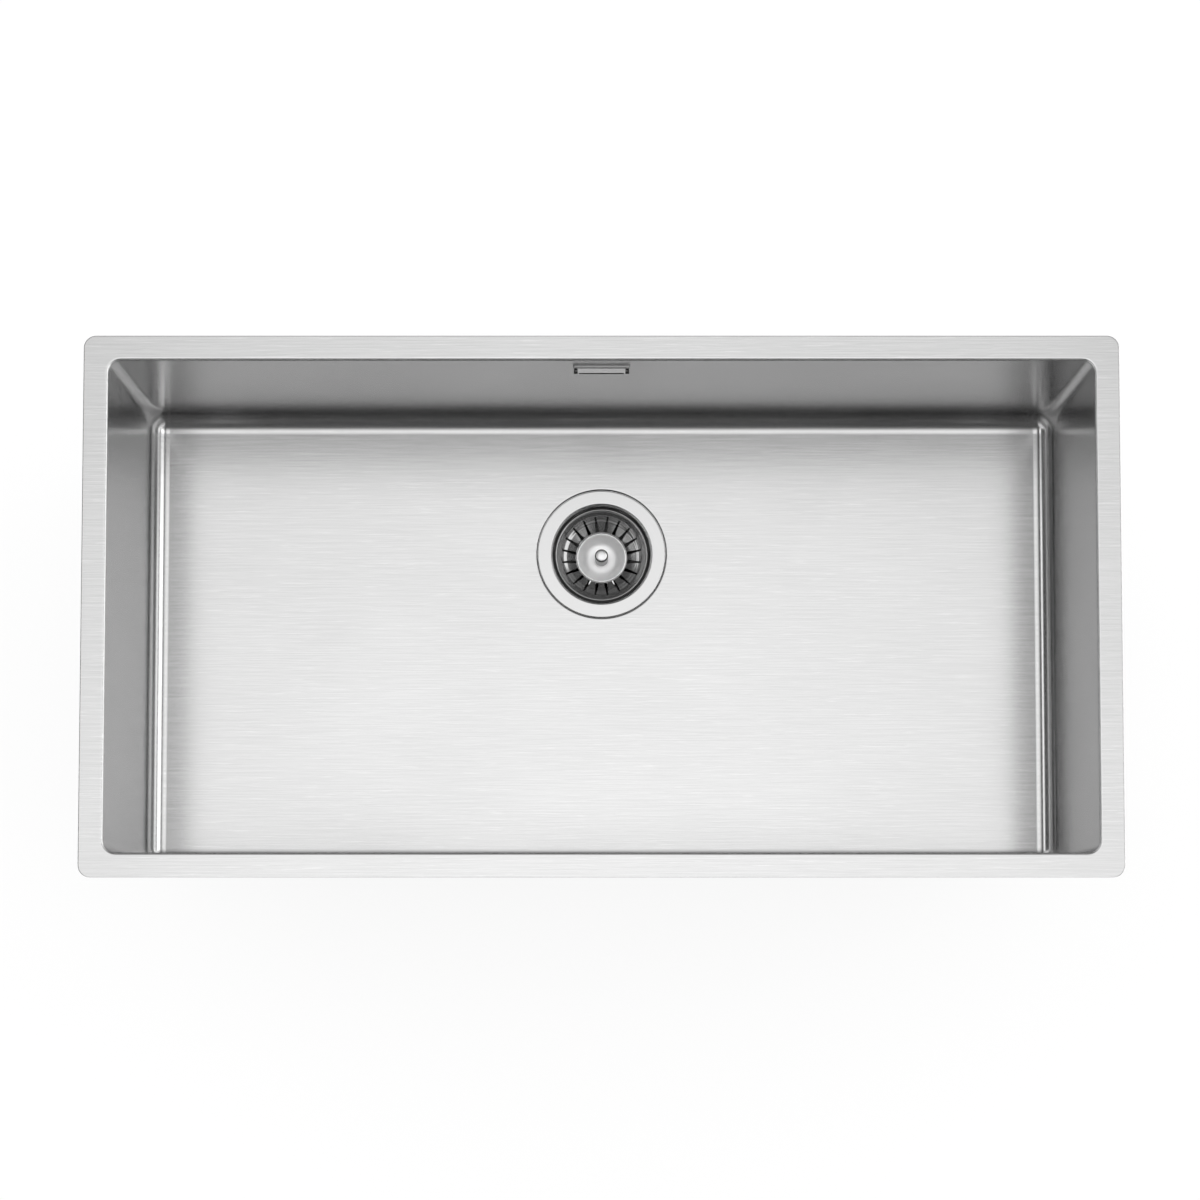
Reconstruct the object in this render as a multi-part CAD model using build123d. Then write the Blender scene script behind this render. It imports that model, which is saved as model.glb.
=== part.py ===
from build123d import *
import math
import os

# Inset kitchen sink in brushed stainless steel, with its basket strainer waste, its overflow
# and the eight clamps that hold it down in a worktop. Millimetres, +Z up, +X to the right of a
# person who stands at the sink, +Y to the wall behind it. The origin is the centre of the
# cut-out, on the worktop's top face, so the pressed sealing tape lies on z = 0.

# Rim, bowl and sheet
rim_length = 840.0
rim_width = 440.0
rim_corner = 10.0
rim_edge_round = 0.4
flange_width = 20.0
bowl_depth = 200.0
bowl_corner = 10.0
floor_bend = 15.0
rim_bend = 2.0
sheet = 1.2
corner_open_low = 16.0
corner_open_high = 55.0
corner_slack = 0.4

# Sealing tape under the flange
tape_thickness = 1.0
tape_inset = 1.0
tape_width = 8.0

# Waste: recess, hole and where it lies behind the bowl's centre
drain_y = 77.4
recess_radius = 57.8
recess_depth = 2.8
recess_round = 0.6
waste_hole_radius = 45.0

# Threaded outlet below the waste, with heights counted from the bowl floor
tail_radius = 23.9
tail_bore_radius = 20.5
tail_top = -64.5
tail_bottom = -97.2

# Overflow on the rear wall, measured down from the worktop
overflow_z = -25.0
overflow_hole_length = 24.0
overflow_hole_height = 12.0
overflow_screw_x = 18.5
overflow_screw_radius = 2.0

# Clamps: where they stand along the walls, and their own sizes
clip_along_x = 230.0
clip_along_y = 100.0
clip_top = -16.0
clip_bottom = -58.0
clip_axis_out = 4.4
clip_screw_radius = 2.5
clip_running_gap = 0.1
nut_width = 8.0
nut_height = 4.0
claw_reach = 25.0
claw_thickness = 2.5
claw_tooth_height = 5.0

# Overflow hose between the box behind the wall and the waste body
hose_y = 219.0
hose_top = -70.0
hose_turn = 46.0
hose_bore_radius = 10.0
hose_valley_radius = 11.0
hose_crest_radius = 13.0
hose_cuff_radius = 12.2
hose_cuff_length = 17.0
hose_rib_pitch = 4.0

# Worked out from the sizes above
bowl_length = rim_length - 2 * flange_width
bowl_width = rim_width - 2 * flange_width
rim_under = tape_thickness
rim_top = rim_under + sheet
floor_top = rim_top - bowl_depth
floor_under = floor_top - sheet
wall_x = bowl_length / 2 + sheet
wall_y = bowl_width / 2 + sheet
port_z = floor_top - 26.0
port_collar_y = drain_y + 62.0


def block(x0, x1, y0, y1, z0, z1):
    """Box between two corners."""
    centre = Pos((x0 + x1) / 2, (y0 + y1) / 2, (z0 + z1) / 2)
    return centre * Box(x1 - x0, y1 - y0, z1 - z0)


def rod(radius, z0, z1, x=0.0, y=0.0):
    """Upright cylinder between two heights."""
    return Pos(x, y, (z0 + z1) / 2) * Cylinder(radius, z1 - z0)


def rod_along_y(radius, y0, y1, x, z):
    """Cylinder that lies along Y."""
    return Pos(x, (y0 + y1) / 2, z) * Rot(90, 0, 0) * Cylinder(radius, y1 - y0)


def turned(points):
    """Solid of revolution about the Z axis from (radius, height) points."""
    outline = make_face(Polyline(*points, close=True))
    return revolve(Plane.XZ * outline, Axis.Z)


def on_drain(shape):
    """Places a piece that was made on the Z axis, with the bowl floor at height 0, in the drain."""
    return Pos(0, drain_y, floor_top) * shape


def edges_at(shape, height, half_x, half_y):
    """Edges that lie flat at a height and inside a rectangle about the origin."""
    found = []
    for edge in shape.edges():
        box = edge.bounding_box()
        flat = abs(box.min.Z - height) < 1e-4 and abs(box.max.Z - height) < 1e-4
        inside = max(box.max.X, -box.min.X) < half_x and max(box.max.Y, -box.min.Y) < half_y
        if flat and inside:
            found.append(edge)
    return found


def tray(grow):
    """Bowl-shaped block, its floor bent up all round and its corners opening out towards it."""
    length = bowl_length + 2 * grow
    width = bowl_width + 2 * grow
    bend = floor_bend + grow
    slim = RectangleRounded(length, width, bowl_corner + grow)
    wide = RectangleRounded(length, width, bend + corner_slack)
    low = Pos(0, 0, floor_top + corner_open_low)
    high = Pos(0, 0, floor_top + corner_open_high)
    upper = extrude(high * slim, bowl_depth - corner_open_high)
    middle = loft([low * wide, high * slim], ruled=True)
    lower = extrude(Pos(0, 0, floor_top - grow) * wide, corner_open_low + grow)
    lower = fillet(lower.edges().group_by(Axis.Z)[0], bend)
    return upper + middle + lower


def make_bowl():
    """One sheet: rim flange, walls, floor, pressed waste recess and the overflow's holes."""
    flange = extrude(Pos(0, 0, rim_under) * RectangleRounded(rim_length, rim_width, rim_corner), sheet)
    recess_under = floor_under - recess_depth
    dish = rod(recess_radius + sheet, recess_under, floor_top - 0.1, y=drain_y)
    dish = fillet(dish.edges().group_by(Axis.Z)[0], recess_round + sheet)
    bowl = flange + tray(sheet) + dish
    bowl = bowl - tray(0.0)
    bowl = bowl - rod(recess_radius, floor_top - recess_depth, floor_top + 1.0, y=drain_y)
    bowl = bowl - rod(waste_hole_radius, recess_under - 1.0, floor_top, y=drain_y)
    opening = edges_at(bowl, rim_top, bowl_length / 2 + 1, bowl_width / 2 + 1)
    bowl = fillet(opening, rim_bend)
    under_bend = edges_at(bowl, rim_under, wall_x + 1, wall_y + 1)
    bowl = fillet(under_bend, rim_bend - sheet)
    rim_line = [e for e in bowl.edges() if abs(e.center().Z - rim_top) < 1e-4]
    rim_line = [e for e in rim_line if abs(e.center().X) > bowl_length / 2 + 10
                or abs(e.center().Y) > bowl_width / 2 + 10]
    bowl = fillet(rim_line, rim_edge_round)
    hole = Pos(0, bowl_width / 2, overflow_z) * Rot(90, 0, 0)
    hole = hole * Box(overflow_hole_length, overflow_hole_height, 6.0)
    bowl = bowl - fillet(hole.edges().filter_by(Axis.Y), 3.0)
    for side in (-1, 1):
        bowl = bowl - rod_along_y(overflow_screw_radius + 0.2, wall_y - 3, wall_y + 3,
                                  side * overflow_screw_x, overflow_z)
    return bowl


def make_tape():
    """Foam tape all round under the flange, pressed to its working thickness."""
    outer = RectangleRounded(rim_length - 2 * tape_inset, rim_width - 2 * tape_inset,
                             rim_corner - tape_inset)
    inset = tape_inset + tape_width
    inner = RectangleRounded(rim_length - 2 * inset, rim_width - 2 * inset, 3.0)
    return extrude(outer - inner, tape_thickness)


def make_pads():
    """Rubber sheets that deaden the sound of water, under the floor and on the four walls."""
    thick = 2.5
    floor_pad = block(78, 350, -150, 150, floor_under - thick, floor_under)
    floor_pad = fillet(floor_pad.edges().filter_by(Axis.Z), 8.0)
    floor_pads = [floor_pad, mirror(floor_pad, Plane.YZ)]
    high = -82.0
    low = -178.0
    rear = block(48, 345, wall_y, wall_y + thick, low, high)
    rear = fillet(rear.edges().filter_by(Axis.Y), 8.0)
    front = block(-345, 345, -wall_y - thick, -wall_y, low, high)
    front = fillet(front.edges().filter_by(Axis.Y), 8.0)
    right = block(wall_x, wall_x + thick, -150, 150, low, high)
    right = fillet(right.edges().filter_by(Axis.X), 8.0)
    wall_pads = [rear, mirror(rear, Plane.YZ), front, right, mirror(right, Plane.YZ)]
    return Compound(floor_pads), Compound(wall_pads)


def make_earth_tag():
    """Small joggled tag welded to the left wall, for the bonding wire's ring and screw."""
    thick = 1.2
    face = -wall_x
    stand_off = 4.0
    foot = block(face - thick, face, -6, 6, -64, -52)
    step = block(face - stand_off - thick, face, -6, 6, -65.2, -64)
    tongue = block(face - stand_off - thick, face - stand_off, -6, 6, -82, -64)
    tongue = fillet(tongue.edges().filter_by(Axis.X).group_by(Axis.Z)[0], 5.0)
    tag = foot + step + tongue
    hole = Pos(face - stand_off, 0, -75) * Rot(0, 90, 0) * Cylinder(2.5, 6)
    return tag - hole


# Clamp pieces are made standing on the rear wall: X runs along the wall, and Y away from it.

def make_bracket():
    """Steel frame on the wall with a lug at each end for the screw and a window for the nut."""
    thick = 1.5
    half = 10.0
    out = 8.0
    plate = block(-half, half, 0, thick, clip_bottom, clip_top)
    plate = plate - block(-4.3, 4.3, -1, 3, clip_bottom + thick, clip_top - thick)
    bracket = plate
    for z0 in (clip_bottom, clip_top - thick):
        lug = block(-8, 8, 0, out, z0, z0 + thick)
        lug = fillet(lug.edges().filter_by(Axis.Z).group_by(Axis.Y)[-1], 3.5)
        bracket = bracket + lug
    hole = rod(clip_screw_radius + clip_running_gap, clip_bottom - 1, clip_top + 1, y=clip_axis_out)
    return bracket - hole


def make_clip_screw():
    """Long screw, driven from below by a hexagon head and closed on top by a peened collar."""
    head_top = clip_bottom - 0.05
    head = Pos(0, clip_axis_out, head_top - 3.5) * extrude(RegularPolygon(4.0, 6), 3.5)
    slot = block(-4.5, 4.5, clip_axis_out - 0.5, clip_axis_out + 0.5, head_top - 4, head_top - 2.3)
    shank = rod(clip_screw_radius, head_top, clip_top + 1.4, y=clip_axis_out)
    collar = rod(3.4, clip_top + 0.05, clip_top + 1.2, y=clip_axis_out)
    return head - slot + shank + collar


def make_clip_nut():
    """Square nut that climbs the screw, kept from turning by the bracket's window."""
    z0 = clip_bottom + 1.7
    nut = block(-nut_width / 2, nut_width / 2, clip_axis_out - nut_width / 2,
                clip_axis_out + nut_width / 2, z0, z0 + nut_height)
    nut = chamfer(nut.edges().filter_by(Axis.Z), 0.6)
    hole = rod(clip_screw_radius + clip_running_gap / 2, z0 - 1, z0 + 6, y=clip_axis_out)
    return nut - hole


def make_claw():
    """Pressed arm that lies along the wall at rest and swings out under the worktop."""
    z0 = clip_bottom + 1.8 + nut_height
    z1 = z0 + claw_thickness
    near = clip_axis_out - 2.6
    far = clip_axis_out + 3.6
    arm = block(0, claw_reach, near, far, z0, z1)
    tip = block(claw_reach - 2, claw_reach, near, far, z0, z1 + claw_tooth_height)
    middle = (near + far) / 2
    valley = make_face(Polyline((middle - 1.6, z1 + 6), (middle, z1 + 2.4), (middle + 1.6, z1 + 6),
                                close=True))
    valley = extrude(Plane.YZ * valley, 2 * claw_reach)
    rib = block(5.5, claw_reach - 2, middle - 0.75, middle + 0.75, z1, z1 + 1.2)
    claw = rod(4.2, z0, z1, y=clip_axis_out) + arm + tip + rib - valley
    return claw - rod(clip_screw_radius + 0.2, z0 - 1, z1 + 1, y=clip_axis_out)


def clip_places():
    """Name of each clamp and the turn and move that carry it from the rear wall to its place."""
    places = {}
    for side, sign in (("left", -1), ("right", 1)):
        places["rear_" + side] = Pos(sign * clip_along_x, wall_y, 0)
        places["front_" + side] = Pos(sign * clip_along_x, -wall_y, 0) * Rot(0, 0, 180)
    for end, sign in (("rear", 1), ("front", -1)):
        places["left_" + end] = Pos(-wall_x, sign * clip_along_y, 0) * Rot(0, 0, 90)
        places["right_" + end] = Pos(wall_x, sign * clip_along_y, 0) * Rot(0, 0, -90)
    return places


# Waste pieces are made on the Z axis with the bowl floor at height 0.

def make_flange():
    """Pressed waste flange and cup, with drain slots and a screw hole in the cup's bottom."""
    cup = turned([(56.75, 0), (56.75, -1.2), (46.0, -1.2), (44.5, -3.0), (43.95, -6), (41.0, -39.2),
                  (0, -39.2), (0, -38), (40.0, -38), (42.95, -6), (43.5, -2.6), (45.0, 0)])
    circles = cup.edges().filter_by(GeomType.CIRCLE)
    cup = fillet([e for e in circles if e.radius > 56 and abs(e.arc_center.Z) < 1e-4], 0.5)
    circles = cup.edges().filter_by(GeomType.CIRCLE)
    cup = fillet([e for e in circles if abs(e.radius - 45.0) < 1e-3], 1.2)
    cup = cup - rod(5.3, -45, -30)
    slot = SlotCenterToCenter(16.0, 6.0)
    for index in range(8):
        place = Rot(0, 0, 22.5 + 45.0 * index) * Pos(24.0, 0, -45)
        cup = cup - place * extrude(slot, 12)
    return cup


def make_basket():
    """Drawn basket: rolled lip, slotted dish and the finger cup in its middle."""
    top = [(41.2, -5.4), (41.0, -4.8), (40.4, -4.6), (39.6, -5.1), (38.2, -7.0), (36.6, -9.1),
           (34.5, -11.3), (33.9, -11.7), (33.2, -12.0), (31.4, -12.6), (30.8, -12.9), (22.9, -19.2),
           (22.2, -19.1), (21.6, -18.7), (20.8, -19.0), (19.2, -21.4), (16.6, -25.6), (14.6, -27.8),
           (12.6, -28.7), (10.4, -29.0), (0, -29.0)]
    under = [(0, -29.8), (10.6, -29.8), (12.9, -29.5), (15.1, -28.5), (17.3, -26.1), (19.9, -21.9),
             (21.4, -19.8), (22.8, -20.3), (31.0, -13.8), (31.7, -13.4), (33.5, -12.8), (34.3, -12.4),
             (35.1, -11.8), (37.3, -9.6), (38.9, -7.5), (39.6, -6.3), (40.2, -5.6)]
    basket = turned(top + under)
    slot_count = 20
    slot_in = 22.9
    slot_out = 35.9
    slot = make_face(Polyline((slot_in, -1.3), (slot_out, -0.6), (slot_out, 0.6), (slot_in, 1.3),
                              close=True))
    cutter = extrude(Pos(0, 0, -25) * slot, 20)
    for index in range(slot_count):
        basket = basket - Rot(0, 0, 360.0 * (index + 0.5) / slot_count + 90.0) * cutter
    return basket - rod(2.85, -35, -25)


def make_seal():
    """Rubber ring clipped under the lip, a little smaller than the cup's mouth."""
    return turned([(42.55, -5.6), (42.65, -6.4), (42.3, -8.0), (40.6, -9.2), (39.3, -8.4),
                   (40.3, -7.0), (40.9, -5.8), (41.6, -5.3)])


def make_knob():
    """Round knob with a gently domed top; its foot stands in the finger cup, over the stem."""
    knob = turned([(0, -7.0), (2.0, -7.07), (3.4, -7.22), (4.4, -7.42), (5.0, -7.7), (5.5, -8.15),
                   (5.8, -8.9), (5.85, -9.8), (5.85, -29.0), (0, -29.0)])
    return knob - rod(2.85, -30, -18)


def make_stem():
    """Stem under the basket: a spigot for the knob, a shoulder, and a groove for its ring."""
    return turned([(0, -18.5), (2.75, -18.5), (2.75, -30.2), (5.0, -30.2), (5.0, -32.0),
                   (2.75, -32.0), (2.75, -41.4), (2.2, -41.4), (2.2, -42.8), (2.75, -42.8),
                   (2.75, -50.0), (1.75, -52.0), (0, -52.0)])


def make_stem_ring():
    """Split spring ring in the stem's groove, which grips the screw's bore."""
    ring = rod(3.15, -42.6, -41.6) - rod(2.3, -43, -41)
    return ring - block(0, 5, -0.6, 0.6, -43, -41)


def make_centre_screw():
    """Hollow screw: its head holds the cup down, and its bore takes the basket's stem."""
    screw = rod(9.0, -38.0, -33.6)
    screw = chamfer(screw.edges().group_by(Axis.Z)[-1], 0.8)
    screw = screw + rod(5.0, -58.0, -38.0)
    screw = screw - rod(3.5, -55.0, -33.0)
    for angle in (0, 90):
        screw = screw - Rot(0, 0, angle) * block(-10, 10, -1, 1, -35.1, -33)
    return screw


def make_hub_insert():
    """Knurled brass nut moulded into the waste body's hub."""
    insert = rod(8.0, -54.0, -39.2) - rod(5.05, -60, -39)
    for index in range(16):
        notch = Rot(0, 0, 22.5 * index) * Pos(8.0, 0, -47) * Cylinder(0.5, 20)
        insert = insert - notch
    return insert


def make_waste_body():
    """Moulded funnel below the floor: seat, hub on four ribs and the port for the overflow."""
    outside = turned([(0, -6), (57, -6), (57, -10), (53, -10), (53, -43), (tail_radius, tail_top),
                      (0, tail_top)])
    inside = turned([(0, -5), (46, -5), (46, -10), (50, -14), (50, -42), (tail_bore_radius, -62),
                     (tail_bore_radius, -66), (0, -66)])
    hub = rod(11.0, -54.0, -39.2)
    for angle in (45, 135, 225, 315):
        hub = hub + Rot(0, 0, angle) * block(0, 52, -1.5, 1.5, -54, -46)
    hub = hub & outside
    port = rod_along_y(13.0, 46, 62, 0, -26) + rod_along_y(9.9, 46, 76, 0, -26)
    for index in range(8):
        rib = Rot(0, 0, 45.0 * index + 22.5) * block(52, 56.5, -1.25, 1.25, -22, -9)
        port = port + rib
    body = outside + port - inside + hub
    body = body - rod_along_y(8.2, 40, 80, 0, -26)
    return body - rod(8.05, -60, -38)


def make_waste_tail():
    """Threaded outlet, spin-welded to the bottom of the funnel, that the trap's nut screws on."""
    tail = rod(tail_radius, tail_bottom, tail_top) - rod(tail_bore_radius, tail_bottom - 1, tail_top + 1)
    for index in range(7):
        z = tail_bottom + 4.6 + 2.6 * index
        groove = rod(30, z - 0.5, z + 0.5) - rod(tail_radius - 0.7, z - 1, z + 1)
        tail = tail - groove
    return tail


def make_ring_gasket(outer, inner, low, high):
    """Flat rubber washer round the waste."""
    return rod(outer, low, high) - rod(inner, low - 1, high + 1)


# Overflow pieces are made in place on the rear wall.

def overflow_slots(y0, y1):
    """The holes that the wall, the gasket and the box share."""
    hole = block(-overflow_hole_length / 2, overflow_hole_length / 2, y0, y1,
                 overflow_z - overflow_hole_height / 2, overflow_z + overflow_hole_height / 2)
    return fillet(hole.edges().filter_by(Axis.Y), 3.0)


def make_overflow_plate():
    """Shallow stainless cap with a slot at each end and two tabs that snap into the wall."""
    half = 23.5
    tall = 10.0
    front = bowl_width / 2 - 3.0
    back = bowl_width / 2
    cap = block(-half, half, front, back, overflow_z - tall, overflow_z + tall)
    cap = fillet(cap.edges().filter_by(Axis.Y), 1.6)
    cap = fillet(cap.edges().group_by(Axis.Y)[0], 0.7)
    room = block(-half + 0.8, half - 0.8, front + 1.0, back + 1, overflow_z - tall + 0.8,
                 overflow_z + tall - 0.8)
    cap = cap - fillet(room.edges().filter_by(Axis.Y), 0.8)
    for side in (-1, 1):
        centre = side * 21.4
        slot = block(centre - 1.4, centre + 1.4, front - 1, back - 0.8, overflow_z - 7.8, overflow_z + 7.8)
        cap = cap - fillet(slot.edges().filter_by(Axis.Y), 0.8)
        edge = overflow_z + side * (overflow_hole_height / 2 - 0.1)
        tab = block(-3, 3, front + 0.5, back + 4.5, min(edge, edge - side * 0.8), max(edge, edge - side * 0.8))
        cap = cap + tab
    return cap


def make_overflow_screws():
    """Two pan-head screws that pull the overflow box to the wall, under the cap."""
    screws = []
    for side in (-1, 1):
        x = side * overflow_screw_x
        head = rod_along_y(3.4, bowl_width / 2 - 1.8, bowl_width / 2, x, overflow_z)
        head = head - block(x - 4, x + 4, bowl_width / 2 - 2, bowl_width / 2 - 1.1,
                            overflow_z - 0.4, overflow_z + 0.4)
        shank = rod_along_y(overflow_screw_radius, bowl_width / 2, bowl_width / 2 + 7.5, x, overflow_z)
        screws.append(head + shank)
    return Compound(screws)


def make_overflow_gasket():
    """Rubber sheet between the wall and the overflow box."""
    gasket = block(-30, 30, wall_y, wall_y + 1.5, overflow_z - 13, overflow_z + 13)
    gasket = fillet(gasket.edges().filter_by(Axis.Y), 5.0)
    gasket = gasket - overflow_slots(wall_y - 1, wall_y + 3)
    for side in (-1, 1):
        gasket = gasket - rod_along_y(2.2, wall_y - 1, wall_y + 3, side * overflow_screw_x, overflow_z)
    return gasket


def make_overflow_box():
    """Thin moulded box behind the wall that turns the water down into the hose."""
    face = wall_y + 1.5
    shallow = face + 6.3
    deep = 232.0
    top = block(-31, 31, face, shallow, -52, overflow_z + 14)
    top = fillet(top.edges().filter_by(Axis.Y), 6.0)
    swell = block(-20, 20, face, deep, -64, -46)
    swell = fillet(swell.edges().filter_by(Axis.Z).group_by(Axis.Y)[-1], 8.0)
    swell = chamfer(swell.edges().group_by(Axis.Z)[-1].filter_by(Axis.X).group_by(Axis.Y)[-1], 6.0)
    collar = rod(12.5, hose_top, -63, y=hose_y)
    spigot = rod(9.9, hose_top - 15, -63, y=hose_y)
    room = block(-12.5, 12.5, face + 1.5, shallow - 1.5, -50, overflow_z + 7)
    hollow = block(-18, 18, face + 1.5, deep - 2.0, -62, -50.5)
    hollow = fillet(hollow.edges().filter_by(Axis.Z).group_by(Axis.Y)[-1], 6.0)
    box = top + swell + collar + spigot - room - hollow
    throat = block(-12.5, 12.5, face + 1.5, shallow - 1.5, -51, -49)
    box = box - throat - overflow_slots(face - 1, face + 2)
    box = box - rod(8.2, hose_top - 20, -60, y=hose_y)
    for side in (-1, 1):
        hole = rod_along_y(overflow_screw_radius + 0.05, face - 1, shallow - 0.8,
                           side * overflow_screw_x, overflow_z)
        box = box - hole
    return box


def hose_stations():
    """Distances along the hose with the outside radius at each: plain cuffs and ribs between."""
    start = port_collar_y
    level = hose_y - hose_turn - start
    climb = hose_top - (port_z + hose_turn)
    length = level + hose_turn * math.pi / 2 + climb
    ribs = int((length - 2 * hose_cuff_length) / hose_rib_pitch)
    first = (length - ribs * hose_rib_pitch) / 2
    stations = [(0.0, hose_cuff_radius), (first - 1.0, hose_cuff_radius)]
    for index in range(ribs):
        s = first + index * hose_rib_pitch
        stations.append((s, hose_valley_radius))
        stations.append((s + 1.0, hose_crest_radius))
        stations.append((s + 2.4, hose_crest_radius))
        stations.append((s + 3.4, hose_valley_radius))
    stations.append((length - first + 1.0, hose_cuff_radius))
    stations.append((length, hose_cuff_radius))
    return length, stations


def hose_plane(s):
    """Plane across the hose at a distance along it, with its X axis kept on the row's X."""
    level = hose_y - hose_turn - port_collar_y
    bend = hose_turn * math.pi / 2
    if s <= level:
        point = (0, port_collar_y + s, port_z)
        ahead = (0, 1, 0)
    elif s <= level + bend:
        angle = (s - level) / hose_turn
        point = (0, hose_y - hose_turn * (1 - math.sin(angle)), port_z + hose_turn * (1 - math.cos(angle)))
        ahead = (0, math.cos(angle), math.sin(angle))
    else:
        point = (0, hose_y, port_z + hose_turn + s - level - bend)
        ahead = (0, 0, 1)
    return Plane(origin=point, x_dir=(1, 0, 0), z_dir=ahead)


def make_hose():
    """Ribbed hose: along from the waste body's port, round one bend and up to the box."""
    length, stations = hose_stations()
    outside = loft([hose_plane(s) * Circle(radius) for s, radius in stations], ruled=True)
    path = FilletPolyline((0, port_collar_y, port_z), (0, hose_y, port_z), (0, hose_y, hose_top),
                          radius=hose_turn)
    bore = sweep(hose_plane(0) * Circle(hose_bore_radius), path=path)
    print("overflow hose length", round(length, 1), "ribs", (len(stations) - 4) // 4)
    return outside - bore


def make_hose_clips():
    """Worm-drive band clips, one on each cuff."""
    band = rod(hose_cuff_radius + 0.9, -4, 4) - rod(hose_cuff_radius + 0.05, -5, 5)
    house = block(-5, 5, hose_cuff_radius + 0.5, hose_cuff_radius + 6.0, -4.5, 4.5)
    house = fillet(house.edges().filter_by(Axis.X).group_by(Axis.Y)[-1], 2.0)
    worm = Pos(-8.5, hose_cuff_radius + 3.4, 0) * Rot(0, 90, 0) * Cylinder(2.6, 7.0)
    slot = block(-13, -11, hose_cuff_radius, hose_cuff_radius + 7, -0.4, 0.4)
    clip = band + house + worm - slot
    upper = Pos(0, hose_y, hose_top - 9.0) * clip
    lower = Pos(0, port_collar_y + 9.0, port_z) * Rot(90, 0, 0) * clip
    return Compound([upper, lower])


os.makedirs("parts", exist_ok=True)


def save(name, shape):
    """Writes one node's solids."""
    export_step(shape, "parts/" + name + ".step")


save("sink_bowl", make_bowl())
save("foam_sealing_tape", make_tape())
floor_pads, wall_pads = make_pads()
save("floor_pads", floor_pads)
save("wall_pads", wall_pads)
save("earth_tag", make_earth_tag())

bracket = make_bracket()
clip_screw = make_clip_screw()
clip_nut = make_clip_nut()
claw = make_claw()
brackets = []
for name, place in clip_places().items():
    brackets.append(place * bracket)
    save("clip_" + name + "_screw", place * clip_screw)
    save("clip_" + name + "_nut", place * clip_nut)
    save("clip_" + name + "_claw", place * claw)
save("clip_brackets", Compound(brackets))

save("strainer_flange", on_drain(make_flange()))
save("strainer_basket", on_drain(make_basket()))
save("basket_seal", on_drain(make_seal()))
save("basket_knob", on_drain(make_knob()))
save("basket_stem", on_drain(make_stem()))
save("stem_ring", on_drain(make_stem_ring()))
save("centre_screw", on_drain(make_centre_screw()))
save("hub_insert", on_drain(make_hub_insert()))
save("waste_body", on_drain(make_waste_body()))
save("waste_tail", on_drain(make_waste_tail()))
save("flange_gasket", on_drain(make_ring_gasket(56.0, 46.5, -recess_depth, -1.2)))
save("waste_gasket", on_drain(make_ring_gasket(56.5, 46.0, -6.0, -recess_depth - sheet)))

save("overflow_plate", make_overflow_plate())
save("overflow_screws", make_overflow_screws())
save("overflow_gasket", make_overflow_gasket())
save("overflow_box", make_overflow_box())
save("overflow_hose", make_hose())
save("hose_clips", make_hose_clips())
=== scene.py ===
"""Looks of an inset kitchen sink in brushed stainless steel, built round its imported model.

Metres, +Z up out of the bowl, +Y to the wall with the overflow, +X to the right. The worktop's
top face, which isn't shown, lies at z = 0.
"""

import math

import bmesh
import bpy
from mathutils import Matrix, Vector


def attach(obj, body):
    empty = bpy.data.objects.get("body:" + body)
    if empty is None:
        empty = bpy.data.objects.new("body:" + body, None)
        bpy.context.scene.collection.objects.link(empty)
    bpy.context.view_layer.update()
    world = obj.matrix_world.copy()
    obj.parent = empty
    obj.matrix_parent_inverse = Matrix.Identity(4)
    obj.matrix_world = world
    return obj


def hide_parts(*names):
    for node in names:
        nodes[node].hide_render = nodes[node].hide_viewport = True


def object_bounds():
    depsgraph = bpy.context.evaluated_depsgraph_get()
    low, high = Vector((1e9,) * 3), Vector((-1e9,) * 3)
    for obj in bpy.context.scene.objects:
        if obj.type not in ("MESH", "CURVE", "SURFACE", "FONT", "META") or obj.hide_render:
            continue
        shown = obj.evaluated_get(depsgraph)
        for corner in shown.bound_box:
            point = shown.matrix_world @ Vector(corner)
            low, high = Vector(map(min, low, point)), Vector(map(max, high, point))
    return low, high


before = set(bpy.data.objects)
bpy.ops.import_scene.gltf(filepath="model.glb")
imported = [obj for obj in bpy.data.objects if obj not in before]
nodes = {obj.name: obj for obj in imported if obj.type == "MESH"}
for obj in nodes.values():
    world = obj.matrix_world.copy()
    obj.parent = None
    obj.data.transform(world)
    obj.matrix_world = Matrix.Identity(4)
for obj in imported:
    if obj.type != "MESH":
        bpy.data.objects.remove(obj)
solids_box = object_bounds()

# Camera: high above the sink and a little in front of its rim, tilted a few degrees to the back.
# The rest of the way to the sink's middle is made by moving the frame up the image.
rim_top = 0.0022
camera = bpy.data.objects.new("camera", bpy.data.cameras.new("camera"))
camera.data.sensor_width = 36
camera.data.lens = 72.92
camera.data.shift_x = -0.00125
camera.data.shift_y = 0.21
camera.location = (0.0, -0.3091, rim_top + 1.946)
camera.rotation_euler = (math.radians(3.22), 0.0, 0.0)
bpy.context.scene.collection.objects.link(camera)
bpy.context.scene.camera = camera
bpy.context.scene.view_settings.view_transform = "Standard"


# Brushed steel bowl: one 1.2 mm sheet of stainless steel. Its floor is bent up all round, its
# corners open towards the floor, and its edge is folded out into a flat rim.
def pick(*pieces):
    """Selects only these pieces, with the first one active."""
    bpy.ops.object.select_all(action="DESELECT")
    for piece in pieces:
        piece.select_set(True)
    bpy.context.view_layer.objects.active = pieces[0]


def start(kind, **settings):
    """Adds a primitive alone in the selection and opens it in edit mode."""
    bpy.ops.object.select_all(action="DESELECT")
    getattr(bpy.ops.mesh, f"primitive_{kind}_add")(**settings)
    piece = bpy.context.object
    bpy.ops.object.transform_apply(location=True, rotation=True, scale=True)
    bpy.ops.object.mode_set(mode="EDIT")
    return piece


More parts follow.
